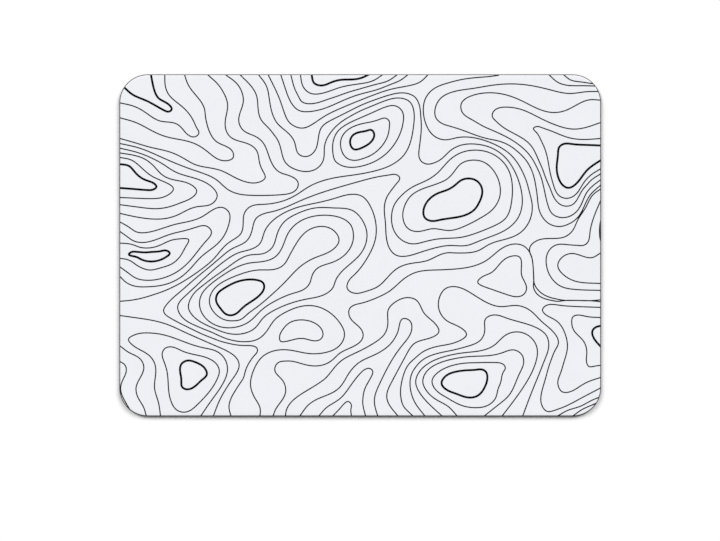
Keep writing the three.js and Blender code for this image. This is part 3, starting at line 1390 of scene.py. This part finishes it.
FINE_RUNS: tuple[Places, ...] = (
    ((164.3, 75), (164.6, 84), (168.2, 94), (176.9, 102.3), (187, 111.4), (193.5, 121.5), (196.6, 128),
     (198.4, 132.2), (195.3, 136), (188, 134.7), (181.8, 128.2), (175.8, 123.3), (160, 120.6),
     (151, 116.2), (142, 110), (131, 105), (119.5, 102.4)),
    ((184.3, 75), (187.1, 83), (193.1, 92), (200, 100.5), (204.1, 109), (204.9, 115.5), (206.1, 122),
     (210.2, 133.8), (216.2, 141.3), (226.3, 146.2), (232.5, 152), (232.6, 157.1), (227, 160.1),
     (217, 158.4), (207.8, 151.8), (198, 145), (188, 141), (165, 136), (150, 129.5), (135, 121.9),
     (119.5, 117.3)),
    ((119.5, 242.6), (130, 243.6), (134, 244.8), (140, 246.9), (145.5, 247.5), (150, 247.3), (160, 244.5),
     (170, 240), (180, 238.3), (188.2, 239.3), (185.5, 245.7), (180.9, 254), (172, 263), (160, 267.4),
     (149, 269.5), (140, 266.8), (136.4, 264.8), (131, 261), (126.8, 259.1), (119.5, 257.8)),
    ((208, 75), (216.9, 83.2), (223.5, 93), (227.1, 104), (225.5, 116), (224.9, 127), (229.5, 136.1),
     (240, 141), (250, 144.5), (256.4, 150.6), (258.8, 161), (262.6, 171), (264.7, 177), (258, 181.8),
     (248, 182), (236, 177.8), (220.3, 170), (207, 167), (195, 164.2), (183.1, 157.8), (170, 151.7),
     (150, 146.8), (135, 142.4), (119.5, 138)),
    ((119.5, 231), (126.2, 235.8), (133.2, 240.4), (142, 242), (155, 239.3), (170, 233.7), (185, 229.9),
     (196.3, 226.5), (206.1, 225.7), (210.9, 231), (205.7, 240.4), (197.3, 250.6), (188.3, 261.5),
     (177, 271), (163, 277.4), (147, 279.8), (135, 277.4), (127, 271.9), (119.5, 266.5)),
    ((226, 75), (235.4, 82.1), (241.5, 92), (242.8, 101), (240, 111), (238.3, 121), (243, 130),
     (254, 135.5), (262, 141.5), (267.2, 152), (271, 162), (278, 171), (290.2, 175.7), (297.6, 182.2),
     (296.3, 188.4), (290, 192.7), (283, 194), (270, 194.8), (250, 194.8), (236, 192.9), (226.1, 188.1),
     (216.7, 179.8), (205.1, 173.8), (190, 168.5), (172, 161.5), (155, 154), (138, 147.3), (119.5, 143)),
    ((119.5, 221.5), (128.1, 226.4), (136, 231.4), (146, 232), (160, 228.5), (175, 223.8), (192, 220),
     (202, 216), (212, 209.5), (222, 207), (228.5, 212), (228.5, 223), (222.5, 236.9), (212.5, 247.1),
     (201, 256), (190, 268), (178, 278.2), (163, 284.4), (147, 286.3), (133, 285.3), (125, 281.4),
     (119.5, 276)),
    ((200.6, 415), (210.9, 400), (222.4, 383.1), (227, 369), (224, 358), (214.9, 350.3), (206.5, 348),
     (198, 346.1), (180, 339.9), (162, 334.1), (146, 332.4), (133, 334.8), (128, 339), (131.2, 343.8),
     (140.1, 349.6), (149, 355.3), (154.5, 364), (154.9, 376), (154.1, 388), (157.7, 401.1), (160, 415)),
    ((240.3, 75), (249.6, 84.4), (256, 95), (257.5, 107), (260.5, 119), (269, 128.5), (273, 133.5),
     (277.1, 139.4), (281, 151.3), (285.1, 162.2), (295.4, 169.1), (307, 171), (317, 167.5), (323, 159),
     (324, 146), (329.4, 133.1), (340.3, 121.8), (352, 114.5), (361, 109.9), (370, 106.1), (385, 100.1),
     (398, 97.5), (409.3, 101.4), (413.5, 111.8), (413, 126), (409.7, 142.3), (402.6, 155.5),
     (396.6, 160.9), (389.2, 165.3), (372, 171), (355, 174.2), (340, 176.3), (320, 181), (307, 187),
     (297, 193.6), (283, 200.3), (262, 203.9), (250, 206), (244, 212.5), (242.7, 223), (240.4, 233),
     (230.2, 240.8), (222.6, 247.3), (213.9, 257.6), (200.3, 269.2), (183.2, 280.7), (163, 290.7),
     (152, 294.5), (142, 297.5), (130, 299.8), (119.5, 300.8)),
    ((119.5, 147.7), (135, 151.4), (150, 157), (163, 164), (175, 171.5), (190, 176.5), (204, 181.5),
     (213, 188), (216.7, 195.3), (211, 203.5), (198, 206), (188, 209), (177, 214.5), (165, 218),
     (148, 218.2), (133, 215.9), (119.5, 212.9)),
    ((119.5, 315), (135, 317.2), (152, 319.9), (168, 324.4), (184.2, 331.7), (200.2, 338.8), (216, 345.7),
     (230, 352.5), (237.7, 360.5), (238.6, 365.5), (236.8, 371.2), (232.6, 377.7), (228, 384.4),
     (219, 400), (213, 415)),
    ((119.5, 345.5), (129, 352.3), (139, 357.8), (143.3, 366), (140.1, 376.5), (135.6, 387), (137.5, 397),
     (143.2, 407), (145.7, 415)),
    ((456.2, 415), (448.2, 406.4), (436.2, 399.4), (427, 391.5), (422.3, 381), (425.7, 371.6),
     (430.7, 366.8), (436.7, 363.4), (452, 358.6), (470, 356), (490.3, 354.9), (502.2, 352.1),
     (513, 349.4), (521.5, 354.5), (522.8, 364.2), (519.9, 371.2), (516, 380), (509, 394.1),
     (497.5, 404.6), (484.4, 415)),
    ((258.6, 75), (265.3, 84.3), (268.6, 97), (270.9, 109.8), (277, 123), (288, 132.9), (294.4, 142.7),
     (298, 153.4), (306, 156), (314.3, 150.3), (317.8, 138), (321, 127), (331, 119.5), (345, 112.5),
     (360, 105), (375, 99.1), (390, 94.2), (403, 92.4), (414.4, 96.6), (419.5, 107.7), (420.3, 116),
     (420.8, 125), (419.5, 142), (418.6, 149), (418.5, 156), (420.2, 160.1), (423.2, 162.5), (427, 163.6),
     (433.5, 162.4), (440.3, 158.9), (450, 150), (462, 144.3), (475, 143.6), (490, 147), (503.6, 155.8),
     (513.2, 168.9), (520.1, 187), (521.8, 202), (517.5, 217.4), (504.8, 229.6), (490.5, 236),
     (478, 240.8), (466, 245), (450, 245), (432, 248.1), (418, 252.4), (403, 255.9), (396, 254.8),
     (391.7, 251.7), (386, 238), (384.9, 222), (384, 205), (386.6, 196.2), (391, 189.5), (396.8, 182.2),
     (399.2, 177.5), (396.6, 174.5), (389.5, 174.3), (380, 175.8), (360, 180.6), (342, 185.7),
     (320, 192.5), (300, 200.2), (280, 208.7), (271, 211.3), (263, 213.3), (255.4, 218.2), (251.5, 230),
     (246, 240.5), (232, 248), (221, 256.2), (207.5, 267.6), (194.3, 278.5), (179.7, 291.2), (167, 303),
     (163.1, 310.5), (171.1, 318.3), (188, 327), (205, 335), (212, 337.7), (219, 340.4), (227, 342.6),
     (234, 344.1), (244, 345), (252.5, 345.5), (256.2, 347.4), (257, 350.3), (254.3, 354.5), (250, 360.1),
     (246.6, 366), (244.2, 373), (242.8, 377.7), (240.9, 380.8), (235, 389.8), (229.7, 400), (228.5, 407),
     (230.3, 415)),
    ((119.5, 152.5), (132, 154.5), (145, 159), (154, 166.4), (162.6, 175), (175, 179.7), (189.4, 183.6),
     (196.2, 190.6), (188.8, 198.7), (182, 201.6), (175, 204.3), (158, 208.1), (140, 206.9),
     (119.5, 204.2)),
    ((119.5, 361), (124.4, 364.5), (125.8, 370), (123, 378), (120.4, 385), (120.4, 391), (123, 398),
     (127.5, 406)),
    ((441, 415), (429.8, 404.7), (419.8, 393.2), (415.2, 381.5), (419.5, 370.4), (432.3, 360.5),
     (448, 355), (465, 352.1), (482, 349.8), (494, 344.5), (505, 334.7), (517, 331.4), (529.4, 336.1),
     (536.5, 347.4), (535.5, 361), (525.6, 382.3), (512.5, 401.3), (502, 415)),
    ((564, 75), (569.4, 79.1), (580, 81.4), (591, 83)),
    ((573, 415), (580, 410), (595, 403)),
    ((268, 75), (274, 87), (280, 101), (285.1, 115.5), (288, 120.9), (291.7, 124.3), (302, 127.6),
     (312.8, 123.2), (319.5, 118.7), (326, 114.6), (343, 106.6), (351.5, 103), (360, 99.6), (376, 93.4),
     (392, 88.4), (410.2, 84.8), (420.6, 80.8), (426.8, 75)),
    ((494.5, 75.3), (490, 75.9), (482, 76.6), (463, 78.7), (447, 82.6), (433, 88.5), (424.8, 98.4),
     (422.8, 110), (426, 125), (433, 135), (444, 139.3), (457, 137.1), (471, 136.9), (483, 139.6),
     (497.4, 145.5), (510.4, 154.5), (520.5, 168.3), (526.9, 183.8), (529.3, 193), (531.4, 202),
     (529.5, 219.2), (519.8, 232.2), (503.5, 239.1), (488.3, 244.1), (478.3, 249.9), (462, 252.5),
     (454, 252.4), (447, 252.3), (438, 254.9), (427, 260), (410, 263), (397.1, 267.7), (387.4, 276.5),
     (377.4, 286), (365, 291), (353, 292.5), (346.8, 288), (348.8, 279.5), (354, 274.1), (359.3, 268.3),
     (369, 253.5), (375, 238), (375.2, 222), (370, 206), (361, 195.5), (350, 193.9), (335, 197.6),
     (318, 202), (300, 206), (284.8, 211.8), (270.7, 221.6), (263.7, 232), (259.6, 242.8), (250, 248.9),
     (238, 252.3), (225.4, 259.6), (212.4, 270), (197.8, 283.3), (184.6, 295.6), (177.2, 306),
     (181.7, 316.7), (196, 325.5), (204, 328.9), (212, 332.1), (219, 335.4), (227, 338.5), (236, 340.6),
     (246, 341.2), (258.2, 338.2), (267, 329.5), (274, 319.5), (285.5, 311.5), (300, 306), (314, 305.5),
     (328, 311.2), (339, 321.9), (344, 334), (338.9, 345.2), (325, 352), (308, 353), (290, 349.7),
     (275, 350), (261.8, 356.3), (253, 370), (250, 384), (254.2, 397.2), (259.8, 409), (259.5, 415)),
    ((119.5, 157), (129.8, 159.1), (140.4, 166.7), (150.5, 175.1), (163.2, 181.1), (172.9, 188.6),
     (166.4, 195.1), (153, 198.1), (135, 197.7), (119.5, 197)),
    ((424, 415), (415, 403), (410, 389), (411.1, 373.6), (415.2, 366.5), (420.2, 361), (426.8, 356.6),
     (434.3, 353.7), (452, 349.7), (468, 345.5), (480.3, 339.3), (484.3, 329), (485, 318.5), (493, 314.5),
     (505, 317.2), (520, 321.7), (536.3, 327.4), (546.1, 335.4), (548, 347.8), (544.6, 358.3), (540, 370),
     (530.2, 394.2), (522.4, 415)),
    ((549.3, 75), (556.3, 81.2), (566.8, 84.8), (580, 85.2), (594, 85.5)),
    ((558, 415), (566, 410.4), (580, 405.7), (590, 400.5), (599, 396.5)),
    ((280.5, 75), (284.8, 88), (290.3, 101.5), (298, 109.7), (310, 111), (325, 107.5), (343, 99.8),
     (360, 93.6), (377, 89), (392, 83.2), (400, 79.7), (406.5, 75)),
    ((272.8, 415), (274.5, 410.2), (278.3, 404.1), (285, 392), (282.7, 380.8), (278, 375.5),
     (274.4, 370.1), (277.2, 362.5), (284, 360.6), (291, 360.7), (305, 364.2), (320, 365), (331.1, 360.1),
     (339.2, 352.8), (346, 349.1), (353, 345.9), (362.3, 337), (362.5, 333), (359.1, 326.9), (349.5, 317),
     (349.1, 308.2), (353, 304.9), (360, 302.9), (375, 297.8), (390.2, 289.8), (402.2, 279.3), (415, 272),
     (435, 269.5), (455, 268.5), (472, 265.8), (487, 259.2), (499, 249.5), (512, 243.7), (523, 245.4),
     (528, 250), (530.4, 254.3), (532.2, 262), (533, 272), (533.2, 281), (533, 286.3), (534.5, 290.7),
     (539.2, 295.7), (544.5, 298.3), (551, 299.9), (557, 300.8), (563.5, 300.1), (573, 299.9),
     (585, 300.1), (593, 300.5), (600, 301.2)),
    ((600, 91), (585, 91.3), (570, 93), (553, 90.2), (535, 85.9), (512, 83.4), (490, 85), (472, 88),
     (452, 91.5), (440, 98), (434.3, 111.8), (435.4, 117.2), (439.7, 121.9), (449, 125.6), (458, 128.3),
     (478, 135.6), (488, 138.4), (497.2, 140.3), (511.1, 146.4), (517.5, 151.4), (523, 156.7),
     (531.9, 171.6), (535.7, 188), (536.9, 197), (538.9, 210.1), (542.4, 217.2), (547.8, 222.7),
     (559, 226), (570, 222.6), (577, 217.2), (581.5, 210.5), (585, 203), (590.2, 193.9), (600, 184.8)),
    ((600, 188.6), (592, 194.8), (586.1, 205.3), (581.4, 212.9), (577.4, 219.2), (572.5, 229.5),
     (565, 236), (552, 238), (538, 239.5), (532.4, 242.8), (529.5, 246.6), (529.1, 250.8), (531.2, 257),
     (532.6, 266), (533.1, 276), (533.8, 283), (536.5, 288.1), (541.5, 293), (549, 296.7), (556, 298.5),
     (564, 299.8), (575, 299.9), (590, 300.2), (600, 299.3)),
    ((411.9, 415), (402.7, 405.1), (400.7, 399), (400, 392), (402, 378), (408.3, 363.7), (414.8, 357.4),
     (422.3, 351.4), (440, 345.3), (458, 340.7), (466, 334), (459, 326.5), (446, 320), (438.5, 309),
     (439.3, 296), (445.2, 288), (455, 286.2), (470, 292.3), (486, 301.9), (500, 306.1), (516, 305),
     (529, 309.5), (541.1, 320.9), (553.4, 332.1), (557.9, 342.7), (554.5, 350), (551.6, 356.8),
     (548.1, 366.8), (545, 378), (542.1, 388), (540.3, 397.5), (541.8, 405.8), (546.5, 410.8),
     (554.5, 409.7), (563, 406.6), (580, 398), (600, 387.5)),
    ((290.5, 75), (294.5, 88.9), (298.1, 96.2), (301, 100.8), (311, 103.2), (328, 98.6), (337, 95.6),
     (345, 92.7), (360, 88.2), (377, 83.5), (388, 80.1), (395.7, 75)),
    ((285, 415), (285.8, 410), (288.6, 404.3), (302.3, 392.6), (310.5, 387.6), (318.8, 382.4),
     (325.2, 377.5), (330.3, 371.6), (340.2, 360.7), (356.2, 351.9), (373.7, 342.4), (384.4, 332.9),
     (387.4, 322), (387.8, 309.2), (395.4, 301.1), (407, 297.1), (415.9, 299.7), (423.1, 311.9),
     (434, 322.5), (438.4, 331), (428, 338), (413.6, 343.2), (405.8, 354.2), (395.4, 373.5), (390.9, 382),
     (387.1, 390.5), (386.3, 397), (388.4, 403.6), (397, 415)),
    ((600, 99.7), (590, 99.2), (578, 103.4), (565, 110), (552, 112), (538.3, 108.6), (520.4, 99.9),
     (503.2, 93.8), (487, 92.3), (471, 95.3), (465.2, 98.1), (461, 102.7), (461.9, 112), (466, 116),
     (473.2, 120.2), (481, 124.8), (490, 129), (507.4, 137.2), (523.3, 148.4), (530.3, 156.2),
     (535.6, 165.3), (540.4, 176.3), (542.9, 185.3), (547.9, 206.2), (550.9, 212.3), (555.7, 215.8),
     (567, 216.5), (577, 210), (582.6, 199.7), (585.5, 193.3), (591.5, 186), (600, 179.4)),
    ((600, 306.9), (573, 305.9), (559.5, 304.8), (551, 303.9), (544.7, 305.6), (542, 309.5), (545, 314),
     (550.5, 317.2), (556.4, 320.7), (564.5, 333), (566.9, 347), (563, 363), (560, 372.7), (557.3, 382.1),
     (558.4, 387.2), (561.1, 390.9), (572, 390.3), (579, 386.1), (586, 382), (600, 377)),
    ((599.3, 202), (594.6, 213.2), (590.9, 224.5), (589.6, 231), (588.6, 238.5), (586.8, 242.4),
     (583.3, 244.7), (577, 244.9), (569.5, 244.4), (555, 244.7), (547, 252.8), (545.7, 262.5), (550, 276),
     (560, 285.6), (573, 288.8), (600, 289.9)),
    ((300, 75), (302.1, 85), (304.7, 89.1), (309, 92.4), (322, 92.7), (340, 86.8), (360, 83.2),
     (374, 79.5), (381, 75)),
    ((299.7, 415), (307.3, 405), (312.6, 400.9), (322, 396.4), (337.3, 388.6), (343.1, 381.7),
     (347.2, 374.7), (358.2, 362.3), (376.2, 353.3), (383.7, 348.8), (390.1, 343.3), (395.1, 336.2),
     (398.1, 328.5), (402.4, 318.2), (408.8, 319.8), (411.2, 329), (402, 344.5), (390, 362), (379, 383.5),
     (373.9, 399.5), (374.7, 407), (377.1, 415)),
    ((600, 122), (588, 126.2), (573, 128.6), (558, 125.5), (540, 117.8), (522, 109.4), (506, 106.6),
     (499, 107.3), (494, 109.9), (491.8, 116), (494.6, 119.8), (501.9, 126.2), (516.8, 134.8),
     (530, 144.5), (538.5, 160.5), (542.2, 169), (545.9, 179.2), (549.6, 187.7), (553.1, 196.3),
     (562, 205), (571.7, 204.3), (578.8, 195), (583.2, 187.9), (586.6, 184.1), (590, 180.3), (600, 173.4)),
    ((600, 317), (588, 316.3), (582.5, 315.2), (576.7, 314.6), (572.6, 316.2), (571.2, 321.5),
     (573.7, 330.4), (578.5, 335.7), (583.3, 341.1), (586.3, 353), (586, 361.3), (588.5, 366),
     (593.5, 365.8), (600, 364.8)),
    ((600, 252.5), (592, 257), (582, 255.6), (571, 253), (561, 257.4), (557.3, 265), (562.5, 273.8),
     (576, 281), (600, 283)),
    ((318.8, 415), (325.6, 407.4), (331.5, 403.4), (339, 398.5), (349.2, 386.4), (360, 372.6),
     (364, 369.2), (368.7, 367.9), (372.1, 370.4), (371.1, 375.5), (367.8, 381.5), (364.1, 389),
     (362.6, 396), (362.3, 403), (364.9, 415)),
    ((600, 138), (583, 139), (567, 136.8), (552, 131), (541, 127), (536, 126.1), (533, 127.8),
     (535.7, 131.8), (540, 138.7), (543.4, 146), (546.6, 155.9), (548.5, 166), (550.3, 175),
     (552.7, 183.5), (559, 195.5), (567, 197.8), (575.8, 193.3), (581, 185.8), (583.4, 182),
     (590.7, 174.3), (600, 168.4)),
    ((332.7, 415), (340.3, 407), (343.8, 403.1), (347.4, 401), (350.7, 403.9), (350.4, 409), (350.9, 415)),
)


def all_contours() -> list[Contour]:
    """Gathers the print's lines.

    Returns:
        Every line with its weight.
    """
    kinds = (
        (Pen.FINE, False, FINE_RUNS),
        (Pen.FINE, True, FINE_LOOPS),
        (Pen.BOLD, False, BOLD_RUNS),
        (Pen.BOLD, True, BOLD_LOOPS),
    )
    return [Contour(pen, closed, places) for pen, closed, lines in kinds for places in lines]


# Putting it together


def main() -> None:
    """Builds the studio and the pad's pieces, and logs how many faces each piece has."""
    logging.basicConfig(level=logging.INFO, format="%(name)s: %(message)s")
    photograph = Photograph()
    Studio(photograph, pad_height=cad_box[1].z).build()
    weave, rubber = woven_threads(), rubber_grain()

    cloth = ClothFace()
    white = PrintedCloth("white_cloth", dark=(0.70, 0.712, 0.742), light=(0.74, 0.753, 0.784))
    cloth_face = cloth.build(white.material(weave))
    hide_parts("printed_cloth")
    black = PrintedCloth(
        "black_ink",
        dark=(0.0008, 0.0008, 0.0008),
        light=(0.0025, 0.0025, 0.0025),
        sheen=0.0,
        gloss=0.03,
    )
    contour_print = ContourPrint(cloth, photograph, all_contours()).build(black.material(weave))

    cut_foam = BlackRubber(
        "cut_foam", cell_size=0.32, open_share=0.8, grain=0.25, relief=0.1 * MM, roughness=0.9
    )
    foam_slab = FoamSlab().build(cut_foam.material(rubber))
    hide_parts("foam_core")
    moulded = BlackRubber(
        "moulded_rubber",
        cell_size=0.5,
        open_share=0.06,
        grain=0.8,
        relief=0.03 * MM,
        roughness=0.72,
        crest=0.2 * MM,
    )
    ribbed_sole = GripSole().build(moulded.material(rubber))
    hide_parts("grip_sole")
    film = BondingFilm().dress(HotMelt().material())

    for piece in (cloth_face, contour_print, film, foam_slab, ribbed_sole):
        log.info("%s: %d faces", piece.name, len(piece.data.polygons))


if __name__ == "__main__":
    main()
